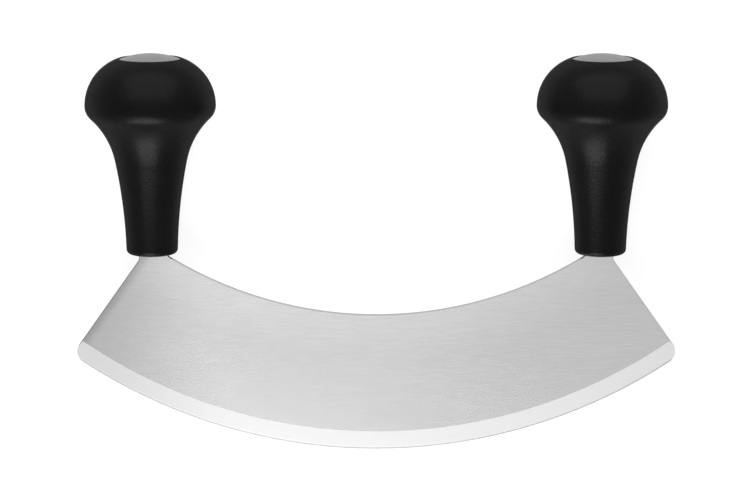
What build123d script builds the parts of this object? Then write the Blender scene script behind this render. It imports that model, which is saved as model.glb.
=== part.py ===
"""Mezzaluna: a curved two-handled chopping blade with fixed knob handles.

The part is drawn standing on its cutting edge, with the blade in the XZ plane, and then laid
down on its back as it rests on a table: on the lowest point of the edge and on both knobs.
"""

from build123d import *
from math import asin, atan2, cos, degrees, hypot, radians, sin, sqrt, tan
import os

# Blade
edge_radius = 202.0
blade_depth = 52.9
half_angle = 35.34
blade_thickness = 1.8
tip_radius = 5.0
bevel_width = 6.6
hone_width = 0.9
hone_thickness = 0.7
edge_thickness = 0.2
edge_break = 0.3

# Tangs, one up into each handle, set in from the spine's end
handle_inset = 0.746
tang_width = 10.1
tang_end_width = 7.4
tang_step = 0.15
tang_step_drop = 0.1
tang_root_depth = 12.0
tang_parallel = 12.0
outer_fillet = 2.5
inner_fillet = 4.0

# Knob outline, with heights counted from the handle's underside
underside_rise = 2.492
knob_radius = 24.85
knob_height = 56.85
shoulder_radius = 19.0
corner_radius = 6.4
flare_radius = 31.0
neck_radius = 195.0
waist_radius = 9.75
waist_drop = 3.15
underside_fillet = 1.9

# Crown of the knob, and the cap in it
cap_radius = 11.4
lip_width = 0.6
lip_break = 0.3
cap_dome_radius = 32.0
cap_sink = 0.35
cap_edge = 0.95
skirt_radius = 9.3
skirt_wall = 1.3
skirt_length = 4.2
bead_height = 1.0
bead_rise = 0.35
bead_share = 0.7

# Inner core and what keys the grip to it
grip_wall = 3.0
crown_web = 1.5
crown_angle = 36.0
bore_wall = 2.0
flute_width = 4.0
flute_depth = 1.4
flute_count = 4

# Riveted end of the tang
washer_radius = 7.6
washer_thickness = 1.5
washer_edge = 0.2
rivet_width = 5.0
rivet_head_radius = 3.6
rivet_head_height = 1.5
head_room = 0.6

# Clearances
bond_gap = 0.05
slot_gap = 0.06
cap_gap = 0.08
bead_gap = 0.1
overrun = 5.0

# Worked out from the sizes above
arc_height = edge_radius
spine_radius = edge_radius - blade_depth
half_thickness = blade_thickness / 2
half_slot = half_thickness - tang_step + slot_gap
handle_offset = spine_radius * sin(radians(half_angle)) - handle_inset
tang_outside = handle_offset + tang_width / 2
tang_inside = handle_offset - tang_width / 2
outer_corner = (tang_outside, arc_height - tang_outside / tan(radians(half_angle)))
inner_corner = (tang_inside, arc_height - sqrt(spine_radius**2 - tang_inside**2))
underside_height = outer_corner[1] + underside_rise
corner_centre = (knob_radius - corner_radius, knob_height)
shoulder_centre = (knob_radius - shoulder_radius, knob_height)
neck_centre = (waist_radius + neck_radius, -waist_drop)
lip_radius = cap_radius + cap_gap + lip_width
lip_height = knob_height + sqrt(shoulder_radius**2 - (lip_radius - shoulder_centre[0]) ** 2)
cap_rim = lip_height - cap_sink
ledge_height = cap_rim - cap_edge
core_top = ledge_height - crown_web
bore_radius = skirt_radius + cap_gap
washer_top = ledge_height - skirt_length - head_room
washer_seat = washer_top - washer_thickness
bead_level = ledge_height - skirt_length * bead_share


def on_arc(centre, radius, angle):
    """The point of a circle at an angle in degrees."""
    turn = radians(angle)
    return (centre[0] + radius * cos(turn), centre[1] + radius * sin(turn))


def arc(centre, radius, start, end):
    """An arc from one angle to another, in degrees, about a centre."""
    middle = (start + end) / 2
    return ThreePointArc(*[on_arc(centre, radius, angle) for angle in (start, middle, end)])


def flare_place():
    """Centre of the flare arc, and the angles at which it meets the corner arc and the neck arc."""
    reach = hypot(neck_centre[0] - corner_centre[0], neck_centre[1] - corner_centre[1])
    to_corner = flare_radius + corner_radius
    to_neck = neck_radius - flare_radius
    along = (reach**2 + to_corner**2 - to_neck**2) / (2 * reach)
    across = sqrt(to_corner**2 - along**2)
    ux = (neck_centre[0] - corner_centre[0]) / reach
    uy = (neck_centre[1] - corner_centre[1]) / reach
    centre = (corner_centre[0] + along * ux + across * uy, corner_centre[1] + along * uy - across * ux)
    under = degrees(atan2(corner_centre[1] - centre[1], centre[0] - corner_centre[0]))
    turn = degrees(atan2(centre[1] - neck_centre[1], neck_centre[0] - centre[0]))
    return centre, under, turn


def neck_angle(inset, height):
    """Angle on the neck arc, set in by a wall, at a height above the underside."""
    return 180 - degrees(asin((height - neck_centre[1]) / (neck_radius + inset)))


def knob_section():
    """Half of the knob's outside section: shoulder, corner, flare and neck arcs, all tangent."""
    flare, under, turn = flare_place()
    shoulder = arc(shoulder_centre, shoulder_radius, 90, 0)
    corner = arc(corner_centre, corner_radius, 0, -under)
    flaring = arc(flare, flare_radius, 180 - under, 180 - turn)
    neck = arc(neck_centre, neck_radius, 180 - turn, neck_angle(0, 0))
    crown = (0, (shoulder @ 0).Y)
    rest = Polyline(neck @ 1, (0, 0), crown, shoulder @ 0)
    return make_face([shoulder, corner, flaring, neck, rest])


def core_section(grow):
    """Half of the core's section, grown by a gap: straight runs that follow the knob's arcs."""
    flare, under, turn = flare_place()
    inset = grip_wall - grow
    shoulder = shoulder_radius - inset
    flaring = flare_radius + inset
    points = [
        (0, core_top + grow),
        (bore_radius + bore_wall + grow, core_top + grow),
        on_arc(shoulder_centre, shoulder, crown_angle),
        on_arc(shoulder_centre, shoulder, 0),
        on_arc(corner_centre, corner_radius - inset, -under),
        on_arc(flare, flaring, 180 - (under + turn) / 2),
        on_arc(flare, flaring, 180 - turn),
        on_arc(neck_centre, neck_radius + inset, neck_angle(inset, inset)),
        (0, inset),
    ]
    return make_face(Polyline(*points, close=True))


def turned(section):
    """A section in radius and height, turned about the handle's axis."""
    return revolve(Plane.XZ * section, Axis.Z)


def disc(radius, bottom, top):
    """A plain cylinder on the handle's axis between two heights."""
    return Pos(0, 0, (bottom + top) / 2) * Cylinder(radius, top - bottom)


def core_blank(grow):
    """Outside of the inner core, grown by a gap, with flutes that key the grip to it."""
    body = turned(core_section(grow))
    inner = knob_radius - grip_wall - flute_depth + grow
    flute = Pos(inner, 0, knob_height) * Box(
        overrun, flute_width - 2 * grow, knob_height, align=(Align.MIN, Align.CENTER, Align.CENTER)
    )
    for place in range(flute_count):
        body -= Rot(0, 0, 180 * (2 * place + 1) / flute_count) * flute
    return body


def bead(grow):
    """A ring with a blunt pointed section, grown by a gap, that snaps the cap into its bore."""
    half = bead_height / 2 + grow
    points = (
        (skirt_radius - skirt_wall / 2, half),
        (skirt_radius, half),
        (skirt_radius + bead_rise + grow, 0),
        (skirt_radius, -half),
        (skirt_radius - skirt_wall / 2, -half),
    )
    return turned(Pos(0, bead_level) * make_face(Polyline(*points, close=True)))


def mirrored(sketch):
    """A right-hand outline together with its mirror image on the left."""
    return sketch + mirror(sketch, Plane.YZ)


def sector():
    """The blade's outline: a ring of metal between two arcs, cut off along two radii."""
    centre = Pos(0, arc_height)
    ring = centre * (Circle(edge_radius) - Circle(spine_radius))
    spread = 2 * edge_radius * sin(radians(half_angle))
    drop = 2 * edge_radius * cos(radians(half_angle))
    wedge = make_face(Polyline((0, 0), (spread, -drop), (-spread, -drop), close=True))
    return ring & (centre * wedge)


def tang_outline():
    """The right-hand tang: a tapering strip with a narrow end that is riveted over."""
    root = outer_corner[1] - tang_root_depth
    seat = underside_height + washer_seat - bond_gap
    end = underside_height + washer_top + rivet_head_height / 2
    steps = (
        (root, tang_width),
        (underside_height + tang_parallel, tang_width),
        (seat, tang_end_width),
        (seat, rivet_width),
        (end, rivet_width),
    )
    right = [(handle_offset + width / 2, height) for height, width in steps]
    left = [(handle_offset - width / 2, height) for height, width in reversed(steps)]
    return make_face(Polyline(*right, *left, close=True))


def blade_outline():
    """Blade and tangs as one flat outline, with the corners rounded."""
    flat = sector() + mirrored(tang_outline())
    tip = on_arc((0, arc_height), edge_radius, half_angle - 90)
    for place, radius in ((tip, tip_radius), (outer_corner, outer_fillet), (inner_corner, inner_fillet)):
        for side in (1, -1):
            corner = flat.vertices().sort_by_distance((side * place[0], place[1], 0))[0]
            flat = fillet(corner, radius)
    return flat


def ground_disc():
    """A disc about the blade's centre with the ground bevel and the honed edge on its rim."""
    hone = edge_radius - hone_width
    slope = (half_thickness - hone_thickness / 2) / (bevel_width - hone_width)
    back = hone - (half_thickness + overrun - hone_thickness / 2) / slope
    side = [
        (0, half_thickness + overrun),
        (back, half_thickness + overrun),
        (hone, hone_thickness / 2),
        (edge_radius, edge_thickness / 2),
    ]
    other = [(radius, -height) for radius, height in reversed(side)]
    section = make_face(Polyline(*side, *other, close=True))
    return Pos(0, 0, arc_height) * revolve(section, Axis.Y)


def rivet_head():
    """The upset end of the tang, a low button on the washer."""
    dome = (rivet_head_radius**2 + rivet_head_height**2) / (2 * rivet_head_height)
    centre = washer_top + rivet_head_height - dome
    ball = Pos(0, 0, centre) * Sphere(dome)
    return ball & disc(rivet_head_radius, washer_top, washer_top + rivet_head_height)


def at_handle(side, piece):
    """A piece drawn on its own axis, moved to the left (-1) or right (1) handle."""
    return Pos(side * handle_offset, 0, underside_height) * piece


def make_blade(outline):
    """The whole blade: plate with broken edges, thinner tangs, ground edge, riveted ends."""
    plate = extrude(Plane.XZ * outline, half_thickness, both=True)
    faces = plate.faces().filter_by(Axis.Y)
    plate = chamfer(faces.edges(), edge_break)
    start = underside_height - tang_step_drop
    end = underside_height + ledge_height
    step = Pos(0, 0, (start + end) / 2) * Box(2 * knob_radius, blade_thickness, end - start)
    for side in (1, -1):
        for face in (1, -1):
            plate -= Pos(side * handle_offset, face * (blade_thickness - tang_step)) * step
    blade = plate & ground_disc()
    for side in (1, -1):
        blade += at_handle(side, rivet_head())
    return blade


def make_core(side, slot):
    """Stiff inner core: it holds the tang, seats the washer and takes the cap's skirt."""
    core = core_blank(0)
    core -= disc(bore_radius, washer_seat, core_top + overrun)
    core -= bead(bead_gap)
    return at_handle(side, core) - slot


def make_grip(side, slot):
    """Outer moulding with the knob's shape, round the core, with a seat for the cap."""
    grip = turned(knob_section()) & disc(knob_radius, 0, lip_height)
    foot = grip.edges().filter_by(GeomType.CIRCLE).sort_by(Axis.Z)[0]
    grip = fillet(foot, underside_fillet)
    grip -= disc(cap_radius + cap_gap, ledge_height, lip_height + overrun)
    mouth = grip.edges().filter_by(GeomType.CIRCLE).group_by(Axis.Z)[-1]
    grip = chamfer(mouth.sort_by(SortBy.RADIUS)[-1], lip_break)
    grip -= disc(bore_radius, core_top, lip_height)
    grip -= core_blank(bond_gap)
    return at_handle(side, grip) - slot


def make_washer(side):
    """Steel washer with a slot for the tang's end and its upper rim edge broken."""
    washer = disc(washer_radius, washer_seat, washer_top)
    washer = chamfer(washer.edges().filter_by(GeomType.CIRCLE).sort_by(Axis.Z)[-1], washer_edge)
    slot = Box(rivet_width + 2 * slot_gap, 2 * half_slot, 2 * washer_thickness + overrun)
    return at_handle(side, washer - Pos(0, 0, washer_seat) * slot)


def make_cap(side):
    """Domed cap with a skirt and a snap bead that catches in the core's bore."""
    dome_base = sqrt(cap_dome_radius**2 - cap_radius**2)
    ball = Pos(0, 0, cap_rim - dome_base) * Sphere(cap_dome_radius)
    cap = ball & disc(cap_radius, ledge_height, cap_rim + cap_dome_radius)
    skirt_end = ledge_height - skirt_length
    cap += disc(skirt_radius, skirt_end, ledge_height + cap_edge / 2)
    cap += bead(0)
    cap -= disc(skirt_radius - skirt_wall, skirt_end - overrun, ledge_height)
    return at_handle(side, cap)


def lying_tilt():
    """Angle between blade and table when the edge and the knob's corner both touch it."""
    rise = underside_height + corner_centre[1]
    out = corner_centre[0] - edge_thickness / 2
    return degrees(atan2(out, rise) + asin(corner_radius / hypot(out, rise)))


outline = blade_outline()
slot = extrude(Plane.XZ * offset(outline, slot_gap), half_slot, both=True)

pieces = {"blade": make_blade(outline)}
for word, side in (("left", -1), ("right", 1)):
    pieces[word + "_core"] = make_core(side, slot)
    pieces[word + "_grip"] = make_grip(side, slot)
    pieces[word + "_washer"] = make_washer(side)
    pieces[word + "_cap"] = make_cap(side)

laid = {name: Rot(lying_tilt() - 90, 0, 0) * piece for name, piece in pieces.items()}
boxes = [piece.bounding_box() for piece in laid.values()]
lowest = [min(tuple(box.min)[axis] for box in boxes) for axis in range(3)]
highest = [max(tuple(box.max)[axis] for box in boxes) for axis in range(3)]
middle = [(low + high) / 2 for low, high in zip(lowest, highest)]
to_origin = Pos(-middle[0], -middle[1], -lowest[2])

os.makedirs("parts", exist_ok=True)
for name, piece in laid.items():
    export_step(to_origin * piece, f"parts/{name}.step")
print("size", [round(high - low, 3) for low, high in zip(lowest, highest)])
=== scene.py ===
"""Looks of the mezzaluna: a brushed steel blade, satin black knob handles and grey caps."""

import bpy
import math
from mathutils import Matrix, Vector


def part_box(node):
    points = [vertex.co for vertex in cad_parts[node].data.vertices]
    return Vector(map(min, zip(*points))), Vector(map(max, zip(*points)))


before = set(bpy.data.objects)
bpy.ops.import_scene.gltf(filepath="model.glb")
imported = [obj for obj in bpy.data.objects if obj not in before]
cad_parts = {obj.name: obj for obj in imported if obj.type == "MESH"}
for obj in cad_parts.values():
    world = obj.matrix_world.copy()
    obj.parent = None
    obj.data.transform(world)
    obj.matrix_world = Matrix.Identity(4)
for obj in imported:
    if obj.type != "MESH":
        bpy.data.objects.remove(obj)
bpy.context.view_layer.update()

# Blade: its radii, widths and softness of lines in metres, and its angles
EDGE_RADIUS = 0.202
SPINE_RADIUS = 0.1491
BEVEL_WIDTH = 0.0066
HONE_WIDTH = 0.0009
HALF_ANGLE = math.radians(35.34)
LYING_TILT = math.radians(10.537)
LINE_SOFTNESS = 0.00015

# Noise: its detail, and the parts of its range that a ramp spreads over all of its tones
FINE_DETAIL = 2.0
CLOUD_DETAIL = 3.0
MIDDLE = (0.3, 0.7)
MOST = (0.25, 0.75)
NEARLY_ALL = (0.2, 0.8)

# Brushed steel: marks per metre along x, y and z, and the share of the finest in the grain
STREAKS = (110, 2100, 2100)
HAIRS = (260, 4400, 4400)
CLOUDS = (14, 40, 40)
HAIR_SHARE = 0.45

# Brushed steel: tones, roughness, and the height of the brush marks in metres
FLAT_TONES = (0.424, 0.454)
CLOUD_TONES = (-0.007, 0.007)
GROUND_TONES = (0.436, 0.456)
# Painted shade: the honed edge is a darker line
PAINTED_HONE_SHADE_TONE = 0.255
# The rim is darker than the flat, with painted light making it lighter at the right end
RIM_TONES_WITH_PAINTED_LIGHT = (0.40, 0.18)
FLAT_ROUGHNESS = (0.264, 0.274)
GROUND_ROUGHNESS = (0.73, 0.78)
BRUSH_HEIGHT = 0.000005

# Brushed steel: painted shade and painted light in its base colour, where they fade in, in metres, and the
# factors they apply
# Painted shade towards the lower left corner of the flat, spared in part on the bevel
PAINTED_SHADE_CORNER_FADE = (0.012, 0.078)
PAINTED_CORNER_SHADE = (0.70, 1.0)
PAINTED_SHADE_SPARED_ON_BEVEL = 0.4
# Painted shade in a narrow band along the left end
PAINTED_END_SHADE_FADE = (0.0004, 0.0040)
PAINTED_END_SHADE = (0.76, 1.0)
# Painted light along the spine
PAINTED_SPINE_LIGHT_FADE = 0.020
PAINTED_SPINE_LIGHT = (1.10, 1.0)
RIM_PAINTED_LIGHT_FADE = (0.0005, 0.0020)
SQUARELY_FACING = (0.75, 0.95)

# Grips: marks per metre, tones, roughness, bump, and gloss from face-on to edge-on
GRIP_GRAIN = 1200.0
GRIP_CLOUD = 90.0
GRIP_TONES = (0.0008, 0.0014)
GRIP_ROUGHNESS = (0.29, 0.41)
GRIP_BUMP_HEIGHT = 0.00010
GRIP_BUMP_STRENGTH = 0.8
GRIP_TURNING_AWAY = (0.18, 0.80)
GRIP_GLOSS = (0.074, 0.003)

# Caps: marks per metre, tones, roughness, bump and gloss
CAP_MOTTLE = 260.0
CAP_GRAIN = 3200.0
CAP_TONES = (0.241, 0.263)
CAP_ROUGHNESS = (0.4, 0.5)
CAP_BUMP_HEIGHT = 0.00001
CAP_GLOSS = 0.15

# Cores and washers: marks per metre along x, y and z, tones, roughness and bump
CORE_FLOW = (400, 60, 400)
CORE_TONES = (0.022, 0.034)
CORE_ROUGHNESS = 0.55
CORE_BUMP_HEIGHT = 0.00002
WASHER_GRAIN = (1500, 200, 1500)
WASHER_TONES = (0.5, 0.6)
WASHER_ROUGHNESS = (0.35, 0.45)
BUMP_STRENGTH = 0.5

# Camera, straight above the table
CAMERA_PLACE = (-0.000483, 0.001090, 1.150)
SENSOR_WIDTH = 0.036
FOCAL_LENGTH = 0.1428
MM_PER_METRE = 1000

# Floor and world
WHITE = 1.0
AMBIENT = 0.12
FLOOR_GLOW = 0.86
FLOOR_TONE = 0.25
FLOOR_HALF = 3.0
FLOOR_DROP = 0.0001

# Lamps: place, width and height in metres, and brightness in times that of a white surface
LAMPS = {
    "key": ((-0.13, -0.53, 0.29), (0.47, 0.45), 8.4),
    "back": ((0.0, 0.95, 0.85), (1.9, 1.7), 2.1),
    "fill": ((-0.15, -0.45, 1.00), (0.34, 0.90), 0.26),
}


def edge_point():
    """The middle of the cutting edge, which is lowest in the picture and rests on the table."""
    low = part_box("blade")[0]
    return Vector((0, low.y, low.z))


def blade_up():
    """The direction in the blade's plane from the cutting edge towards the handles."""
    return Vector((0, math.cos(LYING_TILT), math.sin(LYING_TILT)))


class Nodes:
    """A material's node tree with short calls for the nodes that the looks are made of."""

    def __init__(self, name):
        self.material = bpy.data.materials.new(name)
        self.material.use_nodes = True
        self.tree = self.material.node_tree
        self.tree.nodes.clear()
        self.output = self.tree.nodes.new("ShaderNodeOutputMaterial")

    def add(self, kind, **settings):
        """A new node with its own settings."""
        node = self.tree.nodes.new(kind)
        for name, value in settings.items():
            setattr(node, name, value)
        return node

    def feed(self, socket, value):
        """Links or sets one input socket."""
        if isinstance(value, bpy.types.NodeSocket):
            self.tree.links.new(value, socket)
        else:
            socket.default_value = value

    def math(self, operation, *values):
        """One Math node and its result."""
        node = self.add("ShaderNodeMath", operation=operation)
        for socket, value in zip(node.inputs, values):
            self.feed(socket, value)
        return node.outputs[0]

    def vector(self, operation, first, second):
        """One Vector Math node: its number for a dot product, else its vector."""
        node = self.add("ShaderNodeVectorMath", operation=operation)
        self.feed(node.inputs[0], first)
        self.feed(node.inputs[1], second)
        return node.outputs["Value" if operation == "DOT_PRODUCT" else "Vector"]

    def ramp(self, value, span, result=(0.0, 1.0)):
        """A value taken smoothly from one range to another, and held beyond its ends."""
        node = self.add("ShaderNodeMapRange", interpolation_type="SMOOTHSTEP")
        self.feed(node.inputs["Value"], value)
        for name, number in zip(("From Min", "From Max", "To Min", "To Max"), (*span, *result)):
            self.feed(node.inputs[name], number)
        return node.outputs["Result"]

    def mixed(self, kind, factor, first, second):
        """One Mix node and its result."""
        node = self.add("ShaderNodeMix", data_type=kind)
        self.feed(node.inputs["Factor"], factor)
        self.feed(node.inputs["A"], first)
        self.feed(node.inputs["B"], second)
        return node.outputs["Result"]

    def mix(self, factor, first, second):
        """Two colours mixed."""
        return self.mixed("RGBA", factor, first, second)

    def blend(self, factor, first, second):
        """Two numbers mixed."""
        return self.mixed("FLOAT", factor, first, second)

    def noise(self, place, scale=1.0, detail=FINE_DETAIL):
        """Noise between 0 and 1 at a place."""
        node = self.add("ShaderNodeTexNoise")
        self.feed(node.inputs["Vector"], place)
        self.feed(node.inputs["Scale"], scale)
        self.feed(node.inputs["Detail"], detail)
        return node.outputs["Fac"]

    def place(self):
        """The object's own coordinates in metres."""
        return self.add("ShaderNodeTexCoord").outputs["Object"]

    def stretched(self, scale):
        """The object's own coordinates, multiplied along each axis."""
        mapping = self.add("ShaderNodeMapping")
        self.feed(mapping.inputs["Vector"], self.place())
        self.feed(mapping.inputs["Scale"], scale)
        return mapping.outputs["Vector"]

    def bump(self, height, distance, strength=BUMP_STRENGTH):
        """A bump from a height between 0 and 1."""
        node = self.add("ShaderNodeBump")
        self.feed(node.inputs["Height"], height)
        self.feed(node.inputs["Distance"], distance)
        self.feed(node.inputs["Strength"], strength)
        return node.outputs["Normal"]

    def finish(self, **inputs):
        """The principled shader, with its sockets named by words joined by underscores."""
        shader = self.add("ShaderNodeBsdfPrincipled")
        for name, value in inputs.items():
            self.feed(shader.inputs[name.replace("_", " ")], value)
        self.tree.links.new(shader.outputs[0], self.output.inputs["Surface"])
        return self.material


def grey(level):
    """A neutral colour."""
    return (level, level, level, 1)


def tinted(nodes, value):
    """A neutral colour whose level is a node's value."""
    colour = nodes.add("ShaderNodeCombineColor")
    for socket in colour.inputs:
        nodes.feed(socket, value)
    return colour.outputs[0]


def mottled(nodes, noise, tones):
    """A neutral colour that a noise takes from one tone to another."""
    return nodes.mix(nodes.ramp(noise, MIDDLE), *map(grey, tones))


def blade_places(nodes):
    """Distance from the arc's centre, and distances in from the left and the right end, in metres."""
    up = blade_up()
    centre = edge_point() + up * EDGE_RADIUS
    from_centre = nodes.vector("SUBTRACT", nodes.place(), tuple(centre))
    across = nodes.vector("DOT_PRODUCT", from_centre, (1, 0, 0))
    upward = nodes.vector("DOT_PRODUCT", from_centre, tuple(up))
    squares = [nodes.math("POWER", part, 2.0) for part in (across, upward)]
    radius = nodes.math("SQRT", nodes.math("ADD", *squares))
    ends = []
    for side in (1, -1):
        inward = Vector((side * math.cos(HALF_ANGLE), 0, 0)) - up * math.sin(HALF_ANGLE)
        ends.append(nodes.vector("DOT_PRODUCT", from_centre, tuple(inward)))
    return radius, *ends


def on_the_flat(nodes):
    """1 where the surface faces along the blade's own normal, 0 on its rim and its broken edges."""
    normal = nodes.add("ShaderNodeNewGeometry").outputs["True Normal"]
    facing = nodes.vector("DOT_PRODUCT", normal, (0, -math.sin(LYING_TILT), math.cos(LYING_TILT)))
    return nodes.ramp(nodes.math("ABSOLUTE", facing), SQUARELY_FACING)


def beyond(nodes, radius, line):
    """0 on the spine's side of a line along the blade, 1 on the cutting edge's side."""
    return nodes.ramp(radius, (line - LINE_SOFTNESS, line + LINE_SOFTNESS))


def brush_marks(nodes):
    """Streaks and finer hairs along the blade, as one noise between 0 and 1."""
    streak = nodes.noise(nodes.stretched(STREAKS))
    hair = nodes.noise(nodes.stretched(HAIRS))
    return nodes.blend(HAIR_SHARE, streak, hair)


def flat_tone(nodes, grain, shade, radius, left):
    """Level of the flat, with painted shade darker towards its left end and painted light along its spine."""
    cloud = nodes.ramp(nodes.noise(nodes.stretched(CLOUDS)), MIDDLE, CLOUD_TONES)
    level = nodes.math("ADD", nodes.ramp(grain, MIDDLE, FLAT_TONES), cloud)
    # Painted shade along the left end
    end = nodes.ramp(left, PAINTED_END_SHADE_FADE, PAINTED_END_SHADE)
    # Painted light along the spine
    spine = nodes.ramp(radius, (SPINE_RADIUS, SPINE_RADIUS + PAINTED_SPINE_LIGHT_FADE), PAINTED_SPINE_LIGHT)
    for factor in (shade, end, spine):
        level = nodes.math("MULTIPLY", level, factor)
    return level


def brushed_steel(name):
    """Stainless steel brushed along the blade, with a brighter ground bevel and a fine honed edge; its base
    colour holds painted shade towards the lower left corner and along the left end, a painted dark line on
    the hone, and painted light along the spine and at the right end of the rim.
    """
    nodes = Nodes(name)
    radius, left, right = blade_places(nodes)
    grain = brush_marks(nodes)
    depth = nodes.math("SUBTRACT", EDGE_RADIUS, radius)
    # Painted shade towards the lower left corner; the bevel gets only part of it
    shade = nodes.ramp(nodes.math("ADD", depth, left), PAINTED_SHADE_CORNER_FADE, PAINTED_CORNER_SHADE)
    flat = flat_tone(nodes, grain, shade, radius, left)
    bevel_painted_shade = nodes.blend(PAINTED_SHADE_SPARED_ON_BEVEL, shade, 1.0)
    ground = nodes.math("MULTIPLY", nodes.ramp(grain, NEARLY_ALL, GROUND_TONES), bevel_painted_shade)
    on_bevel = beyond(nodes, radius, EDGE_RADIUS - BEVEL_WIDTH - 2 * LINE_SOFTNESS)
    on_hone = beyond(nodes, radius, EDGE_RADIUS - HONE_WIDTH / 2)
    # The hone is a painted dark line
    level = nodes.blend(on_hone, nodes.blend(on_bevel, flat, ground), PAINTED_HONE_SHADE_TONE)
    # The rim: darker than the flat, lighter at the right end as painted light
    rim = nodes.ramp(right, RIM_PAINTED_LIGHT_FADE, RIM_TONES_WITH_PAINTED_LIGHT)
    level = nodes.blend(on_the_flat(nodes), rim, level)
    flat_roughness = nodes.ramp(grain, MOST, FLAT_ROUGHNESS)
    roughness = nodes.blend(on_bevel, flat_roughness, nodes.ramp(grain, MOST, GROUND_ROUGHNESS))
    normal = nodes.bump(grain, BRUSH_HEIGHT)
    return nodes.finish(Base_Color=tinted(nodes, level), Metallic=1.0, Roughness=roughness, Normal=normal)


def satin_black(name):
    """Black moulded plastic with a very fine spark-eroded texture."""
    nodes = Nodes(name)
    grain = nodes.noise(nodes.place(), GRIP_GRAIN)
    cloud = nodes.noise(nodes.place(), GRIP_CLOUD, CLOUD_DETAIL)
    colour = mottled(nodes, cloud, GRIP_TONES)
    roughness = nodes.ramp(grain, MIDDLE, GRIP_ROUGHNESS)
    normal = nodes.bump(grain, GRIP_BUMP_HEIGHT, GRIP_BUMP_STRENGTH)
    facing = nodes.add("ShaderNodeLayerWeight").outputs["Facing"]
    gloss = nodes.ramp(facing, GRIP_TURNING_AWAY, GRIP_GLOSS)
    return nodes.finish(Base_Color=colour, Roughness=roughness, Specular_IOR_Level=gloss, Normal=normal)


def satin_grey(name):
    """Smooth grey plastic with a faint mottle."""
    nodes = Nodes(name)
    mottle = nodes.noise(nodes.place(), CAP_MOTTLE, CLOUD_DETAIL)
    grain = nodes.noise(nodes.place(), CAP_GRAIN)
    colour = mottled(nodes, mottle, CAP_TONES)
    roughness = nodes.ramp(grain, MIDDLE, CAP_ROUGHNESS)
    normal = nodes.bump(grain, CAP_BUMP_HEIGHT)
    return nodes.finish(Base_Color=colour, Roughness=roughness, Specular_IOR_Level=CAP_GLOSS, Normal=normal)


def hidden_black(name):
    """Plain moulded core, with faint flow marks along the handle."""
    nodes = Nodes(name)
    flow = nodes.noise(nodes.stretched(CORE_FLOW))
    colour = mottled(nodes, flow, CORE_TONES)
    normal = nodes.bump(flow, CORE_BUMP_HEIGHT)
    return nodes.finish(Base_Color=colour, Roughness=CORE_ROUGHNESS, Normal=normal)


def stamped_steel(name):
    """Plain stamped washer steel."""
    nodes = Nodes(name)
    grain = nodes.noise(nodes.stretched(WASHER_GRAIN))
    colour = mottled(nodes, grain, WASHER_TONES)
    roughness = nodes.ramp(grain, MIDDLE, WASHER_ROUGHNESS)
    return nodes.finish(Base_Color=colour, Metallic=1.0, Roughness=roughness)


def dress():
    """Gives every node of the frame its material."""
    looks = {
        "blade": brushed_steel("blade_steel"),
        "grip": satin_black("grip_black"),
        "cap": satin_grey("cap_grey"),
        "core": hidden_black("core_black"),
        "washer": stamped_steel("washer_steel"),
    }
    for name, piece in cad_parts.items():
        look = looks[name.split("_")[-1]]
        piece.data.materials.clear()
        piece.data.materials.append(look)


def background_share(tree):
    """1 for rays from the camera, from a reflection or through glass, 0 for light on surfaces."""
    rays = tree.nodes.new("ShaderNodeLightPath")
    share = rays.outputs["Is Camera Ray"]
    for kind in ("Is Glossy Ray", "Is Transmission Ray"):
        either = tree.nodes.new("ShaderNodeMath")
        either.operation = "MAXIMUM"
        tree.links.new(share, either.inputs[0])
        tree.links.new(rays.outputs[kind], either.inputs[1])
        share = either.outputs[0]
    return share


def make_floor():
    """A white table top that shows white and keeps the object's soft shadow."""
    nodes = Nodes("floor_white")
    glow = nodes.add("ShaderNodeEmission")
    nodes.feed(glow.inputs["Strength"], nodes.math("MULTIPLY", background_share(nodes.tree), FLOOR_GLOW))
    matt = nodes.add("ShaderNodeBsdfDiffuse")
    nodes.feed(matt.inputs["Color"], grey(FLOOR_TONE))
    both = nodes.add("ShaderNodeAddShader")
    nodes.feed(both.inputs[0], glow.outputs[0])
    nodes.feed(both.inputs[1], matt.outputs[0])
    nodes.feed(nodes.output.inputs["Surface"], both.outputs[0])
    mesh = bpy.data.meshes.new("floor")
    corners = [(x * FLOOR_HALF, y * FLOOR_HALF, -FLOOR_DROP) for x, y in ((-1, -1), (1, -1), (1, 1), (-1, 1))]
    mesh.from_pydata(corners, [], [(0, 1, 2, 3)])
    mesh.materials.append(nodes.material)
    floor = bpy.data.objects.new("floor", mesh)
    bpy.context.scene.collection.objects.link(floor)


def make_world():
    """White round the object for the camera and for reflections, and a soft even light on surfaces."""
    world = bpy.data.worlds.new("studio")
    world.use_nodes = True
    bpy.context.scene.world = world
    tree = world.node_tree
    level = tree.nodes.new("ShaderNodeMapRange")
    tree.links.new(background_share(tree), level.inputs["Value"])
    level.inputs["To Min"].default_value = AMBIENT
    level.inputs["To Max"].default_value = WHITE
    sky = tree.nodes["Background"]
    sky.inputs["Color"].default_value = grey(WHITE)
    tree.links.new(level.outputs[0], sky.inputs["Strength"])


def make_lamp(name, place, size, brightness):
    """A rectangular soft lamp that looks at the object."""
    width, height = size
    data = bpy.data.lights.new(name, "AREA")
    data.shape = "RECTANGLE"
    data.size = width
    data.size_y = height
    data.energy = brightness * math.pi * width * height
    lamp = bpy.data.objects.new(name, data)
    lamp.location = place
    lamp.rotation_mode = "QUATERNION"
    lamp.rotation_quaternion = (-Vector(place)).to_track_quat("-Z", "Y")
    bpy.context.scene.collection.objects.link(lamp)


def make_camera():
    """The camera looks straight down, with the handles at the top of the picture."""
    data = bpy.data.cameras.new("camera")
    data.sensor_width = SENSOR_WIDTH * MM_PER_METRE
    data.lens = FOCAL_LENGTH * MM_PER_METRE
    camera = bpy.data.objects.new("camera", data)
    camera.location = CAMERA_PLACE
    bpy.context.scene.collection.objects.link(camera)
    bpy.context.scene.camera = camera


dress()
make_floor()
make_world()
make_camera()
for name, (place, size, brightness) in LAMPS.items():
    make_lamp(name, place, size, brightness)
bpy.context.scene.view_settings.view_transform = "Standard"
